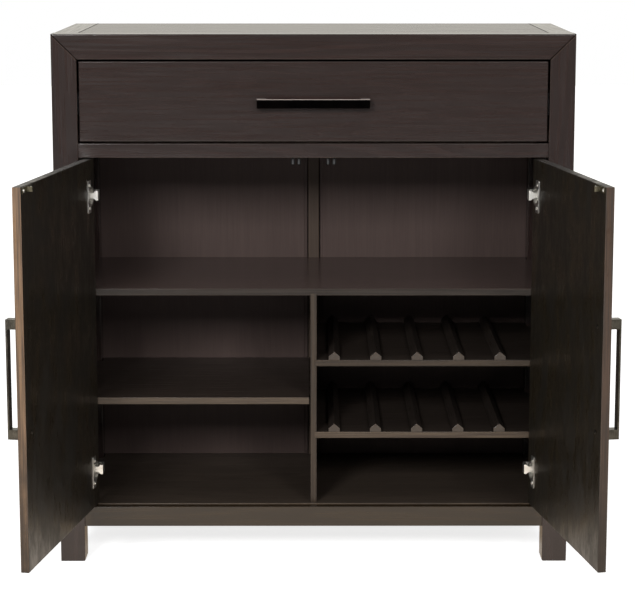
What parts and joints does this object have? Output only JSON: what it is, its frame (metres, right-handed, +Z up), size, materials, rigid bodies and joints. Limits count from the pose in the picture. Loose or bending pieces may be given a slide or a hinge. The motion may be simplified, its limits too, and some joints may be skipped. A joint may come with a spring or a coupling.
{
  "type": "bar cabinet with bottle shelves",
  "caption": "Free-standing wooden bar cabinet: a wide drawer over hinged doors, with open shelves and ridged bottle shelves inside.",
  "frame": {"origin": "on the floor, on the centre plane between the two sides, in the plane of the case's front face (within 5 mm of the middle of the box that holds the part with its doors as stored)", "axes": "+Z up, +X towards the right-hand side as seen from the front, +Y from the front face towards the back, so the doors and drawer open towards -Y"},
  "size_m": [1.0934, 0.8472, 1.056],
  "materials": {
    "frame_wood": "dark brown stained wood under a satin lacquer",
    "top_wood": "dark stained wood with a worn satin lacquer",
    "front_wood": "dark brown stained veneer under a satin lacquer",
    "inside_wood": "near-black stained board, matt",
    "drawer_wood": "dark stained drawer box, matt",
    "handle_metal": "dark bronze, satin",
    "hinge_steel": "bright nickel plate",
    "slide_steel": "zinc-plated sheet steel",
    "screw_steel": "plated screw steel",
    "roller_plastic": "black nylon"
  },
  "bodies": {
    "case": {"adjustable_shelf": "inside_wood", "back_bottom_rail": "frame_wood", "back_centre_stile": "inside_wood", "back_panel_left": "inside_wood", "back_panel_right": "inside_wood", "back_top_rail": "frame_wood", "bottle_rails_lower": "inside_wood", "bottle_rails_upper": "inside_wood", "bottle_shelf_lower": "inside_wood", "bottle_shelf_upper": "inside_wood", "bottom_board": "inside_wood", "bottom_rail": "frame_wood", "case_screws": "screw_steel", "catch_bodies": "slide_steel", "centre_divider": "inside_wood", "drawer_rail": "frame_wood", "front_leg_left": "frame_wood", "front_leg_right": "frame_wood", "front_top_rail": "top_wood", "hinge_arms": "hinge_steel", "hinge_pins": "hinge_steel", "hinge_plates": "hinge_steel", "middle_shelf": "inside_wood", "rear_leg_left": "frame_wood", "rear_leg_right": "frame_wood", "shelf_pins": "hinge_steel", "side_bottom_rail_left": "frame_wood", "side_bottom_rail_right": "frame_wood", "side_panel_left": "frame_wood", "side_panel_right": "frame_wood", "side_top_rail_left": "top_wood", "side_top_rail_right": "top_wood", "slide_outer_left": "slide_steel", "slide_outer_right": "slide_steel", "top_panel": "top_wood"},
    "drawer": {"drawer_back": "drawer_wood", "drawer_floor": "drawer_wood", "drawer_front": "front_wood", "drawer_handle": "handle_metal", "drawer_screws": "screw_steel", "drawer_side_left": "drawer_wood", "drawer_side_right": "drawer_wood", "slide_inner_left": "slide_steel", "slide_inner_right": "slide_steel"},
    "slide_middle_left": {"slide_middle_left": "slide_steel"},
    "slide_middle_right": {"slide_middle_right": "slide_steel"},
    "door_left": {"catch_strike_left": "slide_steel", "door_handle_left": "handle_metal", "door_left": "front_wood", "door_screws_left": "screw_steel", "hinge_cups_left": "hinge_steel"},
    "door_right": {"catch_strike_right": "slide_steel", "door_handle_right": "handle_metal", "door_right": "front_wood", "door_screws_right": "screw_steel", "hinge_cups_right": "hinge_steel"},
    "catch_roller_inner_left": {"catch_roller_inner_left": "roller_plastic"},
    "catch_roller_inner_right": {"catch_roller_inner_right": "roller_plastic"},
    "catch_roller_outer_left": {"catch_roller_outer_left": "roller_plastic"},
    "catch_roller_outer_right": {"catch_roller_outer_right": "roller_plastic"}
  },
  "joints": [
    {"name": "drawer_slide", "type": "slide", "parent": "case", "child": "drawer", "axis": [0, -1, 0], "range_m": [0, 0.35]},
    {"name": "slide_middle_left_run", "type": "slide", "parent": "case", "child": "slide_middle_left", "axis": [0, -1, 0], "range_m": [0, 0.175]},
    {"name": "slide_middle_right_run", "type": "slide", "parent": "case", "child": "slide_middle_right", "axis": [0, -1, 0], "range_m": [0, 0.175]},
    {"name": "door_left_hinge", "type": "hinge", "parent": "case", "child": "door_left", "pos_m": [-0.442, 0.007, 0.46475], "axis": [0, 0, 1], "range_deg": [0, 100]},
    {"name": "door_right_hinge", "type": "hinge", "parent": "case", "child": "door_right", "pos_m": [0.442, 0.007, 0.46475], "axis": [0, 0, 1], "range_deg": [-100, 0]},
    {"name": "catch_roller_outer_left_spin", "type": "hinge", "parent": "case", "child": "catch_roller_outer_left", "pos_m": [-0.0405, 0.022, 0.8065], "axis": [0, 0, 1], "continuous": true},
    {"name": "catch_roller_inner_left_spin", "type": "hinge", "parent": "case", "child": "catch_roller_inner_left", "pos_m": [-0.0285, 0.022, 0.8065], "axis": [0, 0, 1], "continuous": true},
    {"name": "catch_roller_outer_right_spin", "type": "hinge", "parent": "case", "child": "catch_roller_outer_right", "pos_m": [0.0405, 0.022, 0.8065], "axis": [0, 0, 1], "continuous": true},
    {"name": "catch_roller_inner_right_spin", "type": "hinge", "parent": "case", "child": "catch_roller_inner_right", "pos_m": [0.0285, 0.022, 0.8065], "axis": [0, 0, 1], "continuous": true}
  ],
  "couplings": [
    {"joint": "slide_middle_left_run", "follows": "drawer_slide", "ratio": 0.5},
    {"joint": "slide_middle_right_run", "follows": "drawer_slide", "ratio": 0.5}
  ]
}
